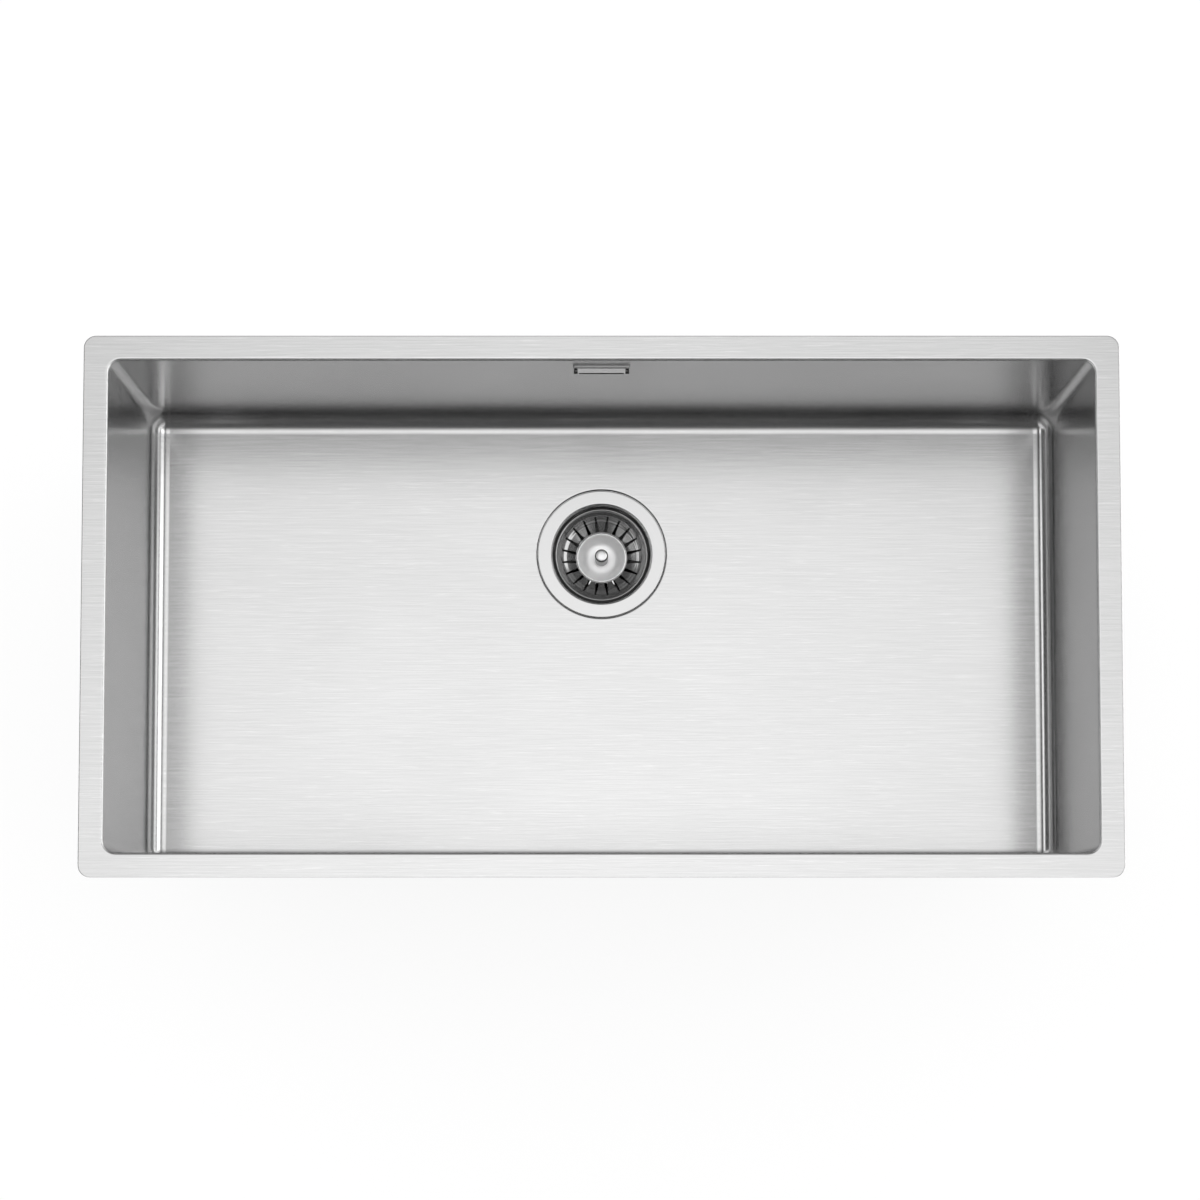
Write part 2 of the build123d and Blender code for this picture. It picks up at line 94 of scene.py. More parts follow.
def choose(kind, wanted):
    """In edit mode, selects just the corners, edges or faces that are wanted."""
    bpy.ops.mesh.select_mode(type=kind)
    bpy.ops.mesh.select_all(action="DESELECT")
    shape = bpy.context.object.data
    mesh = bmesh.from_edit_mesh(shape)
    mesh.normal_update()
    for element in {"VERT": mesh.verts, "EDGE": mesh.edges, "FACE": mesh.faces}[kind]:
        element.select = wanted(element)
    mesh.select_flush_mode()
    bmesh.update_edit_mesh(shape)


def use_modifier(piece, kind, **settings):
    """Adds a modifier to a piece and applies it."""
    pick(piece)
    modifier = piece.modifiers.new(kind.lower(), kind)
    for name, value in settings.items():
        setattr(modifier, name, value)
    bpy.ops.object.modifier_apply(modifier=modifier.name)


def soften(piece, width):
    """Rounds the sharp edges of a piece."""
    use_modifier(piece, "BEVEL", width=width, segments=2, limit_method="ANGLE", angle_limit=math.radians(60))


def smooth(piece, degrees):
    """Smooth shading, with hard edges where faces meet at more than an angle."""
    pick(piece)
    bpy.ops.object.shade_smooth_by_angle(angle=math.radians(degrees))


rim_length, rim_width, rim_corner = 0.840, 0.440, 0.010
half_length, half_width = 0.400, 0.200
top_corner, bottom_corner = 0.010, 0.0154
sheet, rim_bend, floor_bend = 0.0012, 0.002, 0.015
floor_z = rim_top - 0.200
drain = Vector((0.0, 0.0774, floor_z))
corner_facets = 10

# The rim's outer edge. Flat faces have a narrow border, which keeps them flat when shaded.
rim_border, opening_border, floor_border = 0.0008, 0.0006, 0.0003
bowl = start("plane", size=1, location=(0, 0, rim_top))
bowl.name = "brushed_bowl"
bpy.ops.transform.resize(value=(rim_length, rim_width, 1))
bpy.ops.mesh.bevel(offset=rim_corner, segments=corner_facets, affect="VERTICES")
bpy.ops.mesh.inset(thickness=rim_border, use_even_offset=True)
bpy.ops.mesh.delete(type="ONLY_FACE")

# The opening at the top of the rim's bend, joined to the outer edge by the rim's flat face.
wider = rim_bend + opening_border
bpy.ops.mesh.primitive_plane_add(size=1, location=(0, 0, rim_top))
bpy.ops.transform.resize(value=(2 * (half_length + wider), 2 * (half_width + wider), 1))
bpy.ops.mesh.bevel(offset=top_corner + wider, segments=corner_facets, affect="VERTICES")
bpy.ops.mesh.inset(thickness=opening_border, use_even_offset=True)


def past_outline(point, half_x, half_y, radius):
    """How far a point lies outside a rounded rectangle about the origin; negative inside."""
    past_x = max(abs(point.x) - half_x + radius, 0)
    past_y = max(abs(point.y) - half_y + radius, 0)
    return math.hypot(past_x, past_y) - radius


choose("EDGE", lambda edge: edge.is_boundary and all(
    past_outline(end.co, rim_length / 2, rim_width / 2, rim_corner) < -rim_border / 2 for end in edge.verts))
bpy.ops.mesh.bridge_edge_loops()

# Cuts right across, clear of the corners, so that each corner keeps faces of its own down to the floor.
corner_reach = 0.011
for side in (-1, 1):
    for place, facing in (((side * (half_length - corner_reach), 0, 0), (1, 0, 0)),
                          ((0, side * (half_width - corner_reach), 0), (0, 1, 0))):
        bpy.ops.mesh.select_all(action="SELECT")
        bpy.ops.mesh.bisect(plane_co=place, plane_no=facing)


def choose_bottom(level):
    """Selects the faces that lie flat at a height, inside the opening."""
    choose("FACE", lambda face: all(
        abs(end.co.z - level) < 1e-6
        and past_outline(end.co, half_length + rim_bend, half_width + rim_bend, top_corner + rim_bend) < 1e-5
        for end in face.verts))


def bend_sheet(radius, facets, starts_flat):
    """Bends the sheet round the selected bottom by a quarter turn, out of the flat or back into it."""
    for facet in range(facets):
        before, now = (math.radians(90 / facets * step) for step in (facet, facet + 1))
        inward, down = math.sin(now) - math.sin(before), math.cos(before) - math.cos(now)
        if not starts_flat:
            inward, down = down, inward
        bpy.ops.mesh.inset(thickness=radius * inward, use_even_offset=True, use_boundary=True)
        bpy.ops.transform.translate(value=(0, 0, -radius * down))


def draw_down(level, height):
    """Draws the selected bottom down from one height to another, which it returns."""
    bpy.ops.mesh.extrude_region_move(TRANSFORM_OT_translate={"value": (0, 0, height - level)})
    return height


# Rim's bend, and walls whose corners open between two heights above the floor.
choose_bottom(rim_top)
bend_sheet(rim_bend, 5, starts_flat=True)
wall_top = rim_top - rim_bend
open_from, open_to = floor_z + 0.055, floor_z + 0.016
level = draw_down(wall_top, wall_top - 0.001)
level = draw_down(level, open_from)
corner = top_corner
for part in (0.25, 0.5, 0.75, 1.0):
    level = draw_down(level, open_from + (open_to - open_from) * part)
    opened = top_corner + (bottom_corner - top_corner) * part * part * (3 - 2 * part)
    for x in (-half_length, half_length):
        for y in (-half_width, half_width):
            choose("VERT", lambda point: abs(point.co.z - level) < 1e-6
                   and max(abs(point.co.x - x), abs(point.co.y - y)) < 0.018)
            bpy.ops.transform.resize(value=(opened / corner, opened / corner, 1),
                                     center_override=(x, y, level))
    corner = opened
    choose_bottom(level)
draw_down(level, floor_z + floor_bend)
bend_sheet(floor_bend, 12, starts_flat=False)
bpy.ops.mesh.inset(thickness=floor_border, use_even_offset=True, use_boundary=True)

# The flat floor between the cuts, which the opened corners have moved inwards, is made anew round the
# recess that is pressed in for the waste.
recess_edge = 0.0592
cut_reach = corner_reach * bottom_corner / top_corner


def in_flat_floor(point):
    return (abs(point.x) < half_length - cut_reach + 1e-4 and abs(point.y) < half_width - cut_reach + 1e-4
            and point.z < floor_z + 1e-5)


def on_recess_edge(point):
    return abs(math.hypot(point.x - drain.x, point.y - drain.y) - recess_edge) < 1e-5


choose("FACE", lambda face: face.normal.z > 0.9 and in_flat_floor(face.calc_center_median()))
bpy.ops.mesh.delete(type="ONLY_FACE")
bpy.ops.mesh.primitive_circle_add(vertices=128, radius=recess_edge, location=drain)
choose("EDGE", lambda edge: all(in_flat_floor(end.co) for end in edge.verts))
bpy.ops.mesh.fill(use_beauty=True)
choose("EDGE", lambda edge: all(on_recess_edge(end.co) for end in edge.verts))
radius, height = recess_edge, 0.0
recess = [(0.0585, 0.0), (0.05816, -0.00008), (0.0579, -0.0003), (0.0578, -0.00062), (0.0578, -0.0022),
          (0.05772, -0.0025), (0.0575, -0.00272), (0.0572, -0.0028), (0.0566, -0.0028), (0.0450, -0.0028)]
for next_radius, next_height in recess:
    bpy.ops.mesh.extrude_edges_move()
    bpy.ops.transform.resize(value=(next_radius / radius, next_radius / radius, 1), center_override=drain)
    bpy.ops.transform.translate(value=(0, 0, next_height - height))
    radius, height = next_radius, next_height
bpy.ops.mesh.select_all(action="SELECT")
bpy.ops.mesh.normals_make_consistent(inside=False)
bpy.ops.object.mode_set(mode="OBJECT")
if bowl.data.polygons[0].normal.z < 0:
    bowl.data.flip_normals()


class Wire:
    """A socket in a node tree. Sums and products on it add Math nodes, and add() any other node."""

    def __init__(self, tree, socket=None):
        self.tree = tree
        self.socket = socket

    def add(self, kind, settings=None, inputs=None, out=0):
        """Adds a node, sets it up, then gives its inputs values or links, and returns one output."""
        node = self.tree.nodes.new(kind)
        for name, value in (settings or {}).items():
            setattr(node, name, value)
        for name, value in (inputs or {}).items():
            if isinstance(value, Wire):
                self.tree.links.new(value.socket, node.inputs[name])
            else:
                node.inputs[name].default_value = value
        return Wire(self.tree, node.outputs[out])

    def math(self, operation, first, second=0.0):
        return self.add("ShaderNodeMath", {"operation": operation}, {0: first, 1: second})

    def __add__(self, other):
        return self.math("ADD", self, other)

    def __radd__(self, other):
        return self.math("ADD", other, self)

    def __sub__(self, other):
        return self.math("SUBTRACT", self, other)

    def __rsub__(self, other):
        return self.math("SUBTRACT", other, self)

    def __mul__(self, other):
        return self.math("MULTIPLY", self, other)

    def __rmul__(self, other):
        return self.math("MULTIPLY", other, self)

    def between(self, low, high):
        """0 below low, 1 above high, with a soft step between them."""
        return self.add("ShaderNodeMapRange", {"interpolation_type": "SMOOTHSTEP"},
                        {"Value": self, "From Min": low, "From Max": high})

    def vector(self, operation, other):
        return self.add("ShaderNodeVectorMath", {"operation": operation}, {0: self, 1: other})

    def split(self):
        """The three parts of a vector."""
        parts = self.add("ShaderNodeSeparateXYZ", None, {0: self}).socket.node
        return [Wire(self.tree, part) for part in parts.outputs]

    def noise(self, stretch, detail):
        """Soft noise about 0.5, with stretch waves to the metre along each axis."""
        return self.add("ShaderNodeTexNoise", None, {
            "Vector": self.vector("MULTIPLY", stretch), "Scale": 1.0, "Detail": detail, "Roughness": 0.6})

    def blend(self, low, high):
        """A colour between two colours, by this factor."""
        return self.add("ShaderNodeMix", {"data_type": "RGBA"}, {0: self, 6: low, 7: high}, out=2)

    def relief(self, strength, distance):
        """The normal of a surface with this height on it, times a distance."""
        return self.add("ShaderNodeBump", None, {"Strength": strength, "Distance": distance, "Height": self})


def new_material(name):
    """A material with only its output node to come, and a wire that adds its nodes."""
    material = bpy.data.materials.new(name)
    material.use_nodes = True
    material.node_tree.nodes.clear()
    return material, Wire(material.node_tree)


def finish_material(wire, shader):
    """Links a shader to the material's output."""
    output = wire.tree.nodes.new("ShaderNodeOutputMaterial")
    wire.tree.links.new(shader.socket, output.inputs["Surface"])


def grey(level):
    return level, level, level, 1.0


# Inside, the steel is brushed along X, and its end walls front to back.
grained, wire = new_material("grained_steel")
place = wire.add("ShaderNodeTexCoord", out="Object")
x, y, z = place.split()
end_wall = (wire.math("ABSOLUTE", x).between(half_length - 0.0040, half_length - 0.0005)
            * (1 - z.between(-0.0010, 0.0005)))


def brushed(along, across, detail):
    """Brush marks, with so many waves to the metre along them and across them."""
    return (place.noise((along, across, across), detail) * (1 - end_wall)
            + place.noise((across, along, across), detail) * end_wall)


strokes, hairs = brushed(14, 900, 3), brushed(60, 4000, 1)
dashes = brushed(40, 700, 1).between(0.60, 0.74)
cloud = place.noise((7, 11, 11), 2)
tone = strokes * 0.75 + hairs * 0.25
shader = wire.add("ShaderNodeBsdfPrincipled", None, {
    "Base Color": (tone.between(0.2, 0.8) * 0.75 + dashes * 0.25).blend(grey(0.567), grey(0.717)),
    "Metallic": 1.0, "Roughness": 0.235 + (strokes - 0.5) * 0.07 + (cloud - 0.5) * 0.05,
    "Anisotropic": 0.6, "Anisotropic Rotation": 0.25, "Specular Tint": grey(0.8),
    "Normal": (hairs + strokes).relief(0.5, 0.000003)})
finish_material(wire, shader)

# Outside, a grey coat against drumming is sprayed over it up to just under the rim.
coated, wire = new_material("sprayed_coat")
place = wire.add("ShaderNodeTexCoord", out="Object")
drops = place.noise((520, 520, 520), 3)
depth = place.split()[2] * -1.0 + place.noise((60, 60, 60), 2) * 0.004
cover = depth.between(0.0185, 0.0215)
shader = wire.add("ShaderNodeBsdfPrincipled", None, {
    "Base Color": cover.blend(grey(0.6), drops.between(0.3, 0.75).blend(grey(0.25), grey(0.36))),
    "Metallic": 1 - cover, "Roughness": 0.32 + cover * 0.45 + (drops - 0.5) * 0.15,
    "Normal": (drops * cover).relief(0.6, 0.0002)})
finish_material(wire, shader)

# The brushed gloss runs in circles round the middle of the texture space. That lies 100 m off, where
# they are straight.
bowl.data.materials.append(grained)
bowl.data.materials.append(coated)
bowl.data.use_auto_texspace = False
bowl.data.texspace_location = (0, -100, 0)
bowl.data.texspace_size = (1, 1, 1)
use_modifier(bowl, "SOLIDIFY", thickness=sheet, offset=-1, use_even_offset=True, use_quality_normals=True,
             material_offset=1, material_offset_rim=0)
soften(bowl, 0.00035)


def start_block(low, high):
    """Adds a block between two corners and opens it in edit mode."""
    low, high = Vector(low), Vector(high)
    block = start("cube", size=1, location=(0, 0, 0))
    bpy.ops.transform.resize(value=high - low)
    bpy.ops.transform.translate(value=(low + high) / 2)
    return block


def round_edges(along, radius, segments):
    """Rounds the open block's edges that run along a direction."""
    choose("EDGE", lambda edge: abs((edge.verts[0].co - edge.verts[1].co).normalized().dot(along)) > 0.9)
    bpy.ops.mesh.bevel(offset=radius, segments=segments, affect="EDGES")


def cut(piece, cutter):
    """Cuts a closed shape out of a piece and removes the shape."""
    use_modifier(piece, "BOOLEAN", object=cutter, operation="DIFFERENCE", solver="EXACT")
    bpy.data.objects.remove(cutter)


# Holes through the rear wall: a rounded one for the overflow, and one on each side for its screws.
overflow_level = -0.025
hole_reach, hole_rise, hole_corner = 0.012, 0.006, 0.003
screw_reach = 0.0185
through_wall, upward = Vector((0, 1, 0)), Vector((0, 0, 1))
punch = start_block((-hole_reach, half_width - 0.003, overflow_level - hole_rise),
                    (hole_reach, half_width + 0.003, overflow_level + hole_rise))
round_edges(through_wall, hole_corner, 6)
for side in (-1, 1):
    bpy.ops.mesh.primitive_cylinder_add(vertices=24, radius=0.0022, depth=0.006, rotation=(math.pi / 2, 0, 0),
                                        location=(side * screw_reach, half_width, overflow_level))
bpy.ops.object.mode_set(mode="OBJECT")
cut(bowl, punch)
smooth(bowl, 30)
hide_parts("sink_bowl")
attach(bowl, "root")


# Overflow plate: a bare stainless cap over the overflow hole high on the rear wall, pressed from
# sheet. Water goes in through a slot at each end of its face and one along the bottom, and a black
# seal lies behind it.
def metal(name, low, high, roughness, stretch, relief, axis=None, painted_shade=None):
    """A metal whose tone, gloss and relief follow fine marks, which run round an axis if there is one.
    Where the last argument gives two heights and a tone, that darker tone is painted between those heights as
    shade.
    """
    material, wire = new_material(name)
    place = wire.add("ShaderNodeTexCoord", out="Object")
    x, y, z = place.split()
    if axis:
        x, y = x - axis[0], y - axis[1]
        place = wire.add("ShaderNodeCombineXYZ", None, {0: wire.math("SQRT", x * x + y * y), 1: 0.0, 2: z})
    marks = place.noise(stretch, 3)
    cloud = place.noise((90, 90, 90), 2)
    colour = (marks * 0.7 + cloud * 0.3).between(0.25, 0.75).blend(low, high)
    # Painted shade: a darker tone between two heights.
    if painted_shade:
        bottom, top, tone = painted_shade
        colour = (z.between(bottom - 0.0003, bottom) * (1 - z.between(top, top + 0.0003))).blend(colour, tone)
    shader = wire.add("ShaderNodeBsdfPrincipled", None, {
        "Base Color": colour, "Metallic": 1.0,
        "Roughness": roughness + (marks - 0.5) * (roughness * 0.5) + (cloud - 0.5) * 0.08,
        "Normal": marks.relief(0.5, relief)})
    finish_material(wire, shader)
    return material


def soft(name, low, high, roughness, pores, relief):
    """Foam, rubber or plastic between two tones, with so many pores or moulding marks to the metre."""
    material, wire = new_material(name)
    place = wire.add("ShaderNodeTexCoord", out="Object")
    marks = place.noise((pores, pores, pores), 3)
    cloud = place.noise((25, 25, 25), 3)
    shader = wire.add("ShaderNodeBsdfPrincipled", None, {
        "Base Color": (marks * 0.5 + cloud * 0.5).between(0.25, 0.75).blend(low, high),
        "Roughness": roughness + (cloud - 0.5) * 0.25 + (marks - 0.5) * 0.1, "Specular IOR Level": 0.4,
        "Normal": marks.relief(0.7, relief)})
    finish_material(wire, shader)
    return material


def finish_piece(piece, name, material, body, slot, *replaced):
    """Names a new piece and gives it its finish, its body and the nodes that it stands for."""
    piece.name = name
    piece.data.materials.clear()
    piece.data.materials.append(material)
    for node in replaced:
        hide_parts(node)
    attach(piece, body)


def wall_block(low, high, radius):
    """A block with rounded corners, lying on the rear wall."""
    block = start_block(low, high)
    round_edges(through_wall, radius, 5)
    bpy.ops.object.mode_set(mode="OBJECT")
    return block


cap_reach, cap_rise, cap_sheet = 0.0235, 0.010, 0.0008
cap_front = half_width - 0.0022
low, high = overflow_level - cap_rise, overflow_level + cap_rise
cap = wall_block((-cap_reach, cap_front, low), (cap_reach, half_width, high), 0.0016)
bpy.ops.object.mode_set(mode="EDIT")
choose("EDGE", lambda edge: all(end.co.y < cap_front + 1e-5 for end in edge.verts))
bpy.ops.mesh.bevel(offset=0.0010, segments=4, affect="EDGES")
bpy.ops.object.mode_set(mode="OBJECT")
cut(cap, wall_block((cap_sheet - cap_reach, cap_front + cap_sheet, low + cap_sheet),
                    (cap_reach - cap_sheet, half_width + 0.001, high - cap_sheet), 0.0008))
cap_slots = [(-0.0228, -0.0196, low + 0.0014, high - 0.0014), (0.0196, 0.0228, low + 0.0014, high - 0.0014),
             (-0.0186, 0.0186, low + 0.0009, low + 0.0045)]
for left, right, bottom, top in cap_slots:
    cut(cap, wall_block((left, cap_front - 0.001, bottom), (right, cap_front + 0.0015, top), 0.0007))
smooth(cap, 40)
# The cap's top edge, from just under its top upwards, is painted a darker grey as shade so that it doesn't
# shine.
plate_steel = metal("plate_steel", grey(0.52), grey(0.58), 0.2, (30, 2500, 2500), 0.000002,
                    painted_shade=(high - 0.0005, 0.0, grey(0.33)))
finish_piece(cap, "slotted_cap", plate_steel, "root", "satin_steel", "overflow_plate")

seal = wall_block((-0.0226, half_width - 0.0008, low + 0.0009),
                  (0.0226, half_width - 0.00002, high - 0.0009), 0.0008)
cut(seal, wall_block((-hole_reach, half_width - 0.002, overflow_level - hole_rise),
                     (hole_reach, half_width + 0.001, overflow_level + hole_rise), hole_corner))
for side in (-1, 1):
    hole = start("cylinder", vertices=32, radius=0.0036, depth=0.004, rotation=(math.pi / 2, 0, 0),
                 location=(side * screw_reach, half_width, overflow_level))
    bpy.ops.object.mode_set(mode="OBJECT")
    cut(seal, hole)
smooth(seal, 40)
black_seal = soft("black_seal", grey(0.01), grey(0.016), 0.6, 1500, 0.00005)
finish_piece(seal, "cap_seal", black_seal, "root", "black_rubber")

# Sealing tape: a grey closed-cell foam strip, 8 mm wide and 1 mm thick, stuck under the rim and
# pressed flat on the worktop.
tape_inside, tape_width = 0.001, 0.008
tape = start("plane", size=1, location=(0, 0, 0))
bpy.ops.transform.resize(value=(rim_length - 2 * tape_inside, rim_width - 2 * tape_inside, 1))
bpy.ops.mesh.bevel(offset=rim_corner - tape_inside, segments=8, affect="VERTICES")
bpy.ops.mesh.inset(thickness=tape_width, use_even_offset=True)
bpy.ops.mesh.delete(type="FACE")
bpy.ops.object.mode_set(mode="OBJECT")
use_modifier(tape, "SOLIDIFY", thickness=0.00098, offset=1, use_even_offset=True)
soften(tape, 0.0003)
smooth(tape, 40)
foam = soft("closed_cell_foam", grey(0.16), grey(0.24), 0.85, 1400, 0.0002)
finish_piece(tape, "foam_tape", foam, "root", "grey_foam", "foam_sealing_tape")

# Sound-deadening pads: sheets of grey rubber, 2.5 mm thick, stuck to the floor and walls outside to
# take the ring out of falling water.
pad_rubber = soft("pad_rubber", grey(0.05), grey(0.075), 0.62, 900, 0.00015)
pad_thickness = 0.0025


def lay_pad(low, high, outward):
    """A pad between two corners, with rounded corners and a soft edge away from the steel."""
    outward = Vector(outward)
    piece = start_block(low, high)
    round_edges(outward, 0.008, 6)
    choose("FACE", lambda face: face.normal.dot(outward) > 0.9)
    bpy.ops.mesh.inset(thickness=0.0007, use_even_offset=True)
    bpy.ops.object.mode_set(mode="OBJECT")
    soften(piece, 0.0005)
    smooth(piece, 40)
    return piece


def join(pieces):
    """Makes one piece of several."""
    pick(*pieces)
    bpy.ops.object.join()
    return pieces[0]


under = floor_z - sheet
floor_pads = [lay_pad((side * 0.214 - 0.136, -0.150, under - pad_thickness),
                      (side * 0.214 + 0.136, 0.150, under), (0, 0, -1)) for side in (-1, 1)]
finish_piece(join(floor_pads), "floor_damping_pads", pad_rubber, "root", "grey_rubber", "floor_pads")
low, high = -0.178, -0.082
back, end = half_width + sheet, half_length + sheet
wall_pads = [lay_pad((side * 0.1965 - 0.1485, back, low),
                     (side * 0.1965 + 0.1485, back + pad_thickness, high), (0, 1, 0)) for side in (-1, 1)]
wall_pads.append(lay_pad((-0.345, -back - pad_thickness, low), (0.345, -back, high), (0, -1, 0)))
wall_pads.append(lay_pad((-end - pad_thickness, -0.150, low), (-end, 0.150, high), (-1, 0, 0)))
wall_pads.append(lay_pad((end, -0.150, low), (end + pad_thickness, 0.150, high), (1, 0, 0)))
finish_piece(join(wall_pads), "wall_damping_pads", pad_rubber, "root", "grey_rubber", "wall_pads")


# Earth tag: a strip of stainless sheet, spot-welded to the left wall outside. Its hole takes the
# screw of the bonding wire.
def dress(material, *names):
    """Gives CAD nodes a finish."""
    for name in names:
        for slot in nodes[name].material_slots:
            slot.material = material


sheet_steel = metal("sheet_steel", grey(0.52), grey(0.6), 0.3, (1200, 60, 60), 0.000004)
dress(sheet_steel, "earth_tag")

# Fixing clips: eight stainless brackets spot-welded to the walls. In each, a zinc-plated screw
# lifts a nut whose claw swings out and grips the worktop from below.
dress(sheet_steel, "clip_brackets")
zinc = metal("zinc_plate", (0.50, 0.52, 0.55, 1.0), (0.66, 0.67, 0.68, 1.0), 0.27, (700, 700, 700), 0.000006)
for name in nodes:
    if name.startswith("clip_") and name.endswith(("_screw", "_nut", "_claw")):
        dress(zinc, name)


# Waste flange: a satin steel cup pressed from sheet, with eight slots in its bottom. Its flat ring
# lies in the recess, flush with the floor, on a rubber gasket, and a second gasket seals the plastic
# body to the underside. All heights are over the floor.
def turn(profile, segments=96):
    """Turns a closed profile of (radius, height over the floor) points round the drain's axis."""
    radius, height = profile[0]
    piece = start("circle", vertices=segments, radius=radius, location=drain + Vector((0, 0, height)))
    for next_radius, next_height in profile[1:] + profile[:1]:
        bpy.ops.mesh.extrude_edges_move()
        bpy.ops.transform.resize(value=(next_radius / radius, next_radius / radius, 1), center_override=drain)
        bpy.ops.transform.translate(value=(0, 0, next_height - height))
        radius, height = next_radius, next_height
    bpy.ops.mesh.select_all(action="SELECT")
    bpy.ops.mesh.remove_doubles(threshold=2e-5)
    bpy.ops.mesh.delete_loose()
    bpy.ops.mesh.select_all(action="SELECT")
    bpy.ops.mesh.normals_make_consistent(inside=False)
    if bmesh.from_edit_mesh(piece.data).calc_volume(signed=True) < 0:
        bpy.ops.mesh.flip_normals()
    bpy.ops.object.mode_set(mode="OBJECT")
    smooth(piece, 50)
    return piece


def cut_slots(piece, slots, count):
    """Copies an open slot shape evenly round the drain, from half a step on, and cuts the copies out."""
    step = math.radians(360 / count)
    bpy.ops.mesh.select_all(action="SELECT")
    bpy.ops.transform.rotate(value=step / 2, orient_axis="Z", center_override=drain)
    for copy in range(count - 1):
        bpy.ops.mesh.duplicate()
        bpy.ops.transform.rotate(value=step, orient_axis="Z", center_override=drain)
    bpy.ops.object.mode_set(mode="OBJECT")
    cut(piece, slots)
    smooth(piece, 50)


ring_bend, ring_bend_middle = 0.0012, 0.045693
cup = [(0.0053, -0.0392), (0.0402, -0.0392), (0.0409, -0.0390), (0.0411, -0.0384), (0.04395, -0.0060),
       (0.0445, -0.0030), (0.0460, -0.0012), (0.05675, -0.0012), (0.05675, -0.0005), (0.0566, -0.00015),
       (0.05625, 0.0), (0.0559, 0.0), (0.0461, 0.0)]
cup += [(ring_bend_middle + ring_bend * math.cos(math.radians(angle)),
         ring_bend * math.sin(math.radians(angle)) - ring_bend) for angle in range(90, 151, 10)]
cup += [(0.0435, -0.0026), (0.04295, -0.0060), (0.0401, -0.0372), (0.0399, -0.0378), (0.0393, -0.0380),
        (0.0053, -0.0380)]
flange = turn(cup, 128)
drains = start_block(drain + Vector((0.013, -0.003, -0.0416)), drain + Vector((0.035, 0.003, -0.0356)))
round_edges(upward, 0.00299, 6)
cut_slots(flange, drains, 8)
drain_axis = (drain.x, drain.y, 0.0)
# Below 12 mm under the floor, the cup's inside is painted near black as shade so that the slots look dark.
satin = metal("satin_steel_ring", grey(0.60), grey(0.66), 0.26, (1800, 1800, 1800), 0.000002, drain_axis,
              painted_shade=(-1.0, floor_z - 0.012, grey(0.05)))
finish_piece(flange, "flush_flange", satin, "root", "satin_steel", "strainer_flange")


def washer(inner, outer, low, high):
    """The profile of a flat ring with soft corners."""
    edge = 0.0003
    return [(inner, low + edge), (inner + edge, low), (outer - edge, low), (outer, low + edge),
            (outer, high - edge), (outer - edge, high), (inner + edge, high), (inner, high - edge)]


gasket_rubber = soft("gasket_rubber", grey(0.012), grey(0.022), 0.5, 1500, 0.00008)
finish_piece(turn(washer(0.0465, 0.056, -0.0028, -0.0012)), "upper_gasket", gasket_rubber, "root",
             "black_rubber", "flange_gasket")
finish_piece(turn(washer(0.046, 0.0565, -0.006, -0.004)), "lower_gasket", gasket_rubber, "root",
             "black_rubber", "waste_gasket")


# Strainer basket: a polished dish with twenty tapered slots and a satin cup for the fingertips. Its
# knob screws on a stem that pushes into the centre screw, and a rubber ring seals its lip.
def strainer_steel(name, edge, outside, inside):
    """Steel with one finish outside a radius and another inside. Each is a tone, a roughness and a haze. On
    the knob, the dark tone outside is painted shade.
    """
    material, wire = new_material(name)
    place = wire.add("ShaderNodeTexCoord", out="Object")
    x, y, z = place.vector("SUBTRACT", drain_axis).split()
    radius = wire.math("SQRT", x * x + y * y)
    middle = 1 - radius.between(edge - 0.0003, edge + 0.0003)
    rings = wire.add("ShaderNodeCombineXYZ", None, {0: radius, 1: 0.0, 2: z}).noise((1600, 1600, 1600), 2)
    wipes = place.noise((150, 150, 150), 2)
    tone, roughness, haze = (out + middle * (within - out) for out, within in zip(outside, inside))
    tone = tone + (rings - 0.5) * 0.06
    shader = wire.add("ShaderNodeBsdfPrincipled", None, {
        "Base Color": wire.add("ShaderNodeCombineXYZ", None, {0: tone, 1: tone, 2: tone}),
        "Metallic": 1 - haze, "Roughness": roughness + (rings - 0.5) * 0.03 + (wipes - 0.5) * 0.03,
        "Normal": rings.relief(0.3, 0.000001)})
    finish_material(wire, shader)
    return material


def ease(profile, reach):
    """Rounds each corner of a closed profile off, starting at most a reach away from it."""
    eased = []
    for before, corner, after in zip(profile[-1:] + profile[:-1], profile, profile[1:] + profile[:1]):
        before, corner, after = Vector(before), Vector(corner), Vector(after)
        first = corner + (before - corner).normalized() * min(reach, (before - corner).length * 0.4)
        last = corner + (after - corner).normalized() * min(reach, (after - corner).length * 0.4)
        eased += [tuple(first), tuple((first + 2 * corner + last) / 4), tuple(last)]
    return eased


dish = [(0.0412, -0.0054), (0.0410, -0.0048), (0.0404, -0.0046), (0.0396, -0.0051), (0.0382, -0.0070),
        (0.0366, -0.0091), (0.0345, -0.0113), (0.0339, -0.0117), (0.0332, -0.0120), (0.0314, -0.0126),
        (0.0308, -0.0129), (0.0229, -0.0192), (0.0222, -0.0191), (0.0216, -0.0187), (0.0208, -0.0190),
        (0.0192, -0.0214), (0.0166, -0.0256), (0.0146, -0.0278), (0.0126, -0.0287), (0.0104, -0.0290),
        (0.00285, -0.0290), (0.00285, -0.0298), (0.0106, -0.0298), (0.0129, -0.0295), (0.0151, -0.0285),
        (0.0173, -0.0261), (0.0199, -0.0219), (0.0214, -0.0198), (0.0228, -0.0203), (0.0310, -0.0138),
        (0.0317, -0.0134), (0.0335, -0.0128), (0.0343, -0.0124), (0.0351, -0.0118), (0.0373, -0.0096),
        (0.0389, -0.0075), (0.0396, -0.0063), (0.0402, -0.0056)]
basket = turn(ease(dish, 0.0005), 120)
slots = start_block(drain + Vector((0.0229, -0.0015, -0.0250)), drain + Vector((0.0359, 0.0015, -0.0050)))
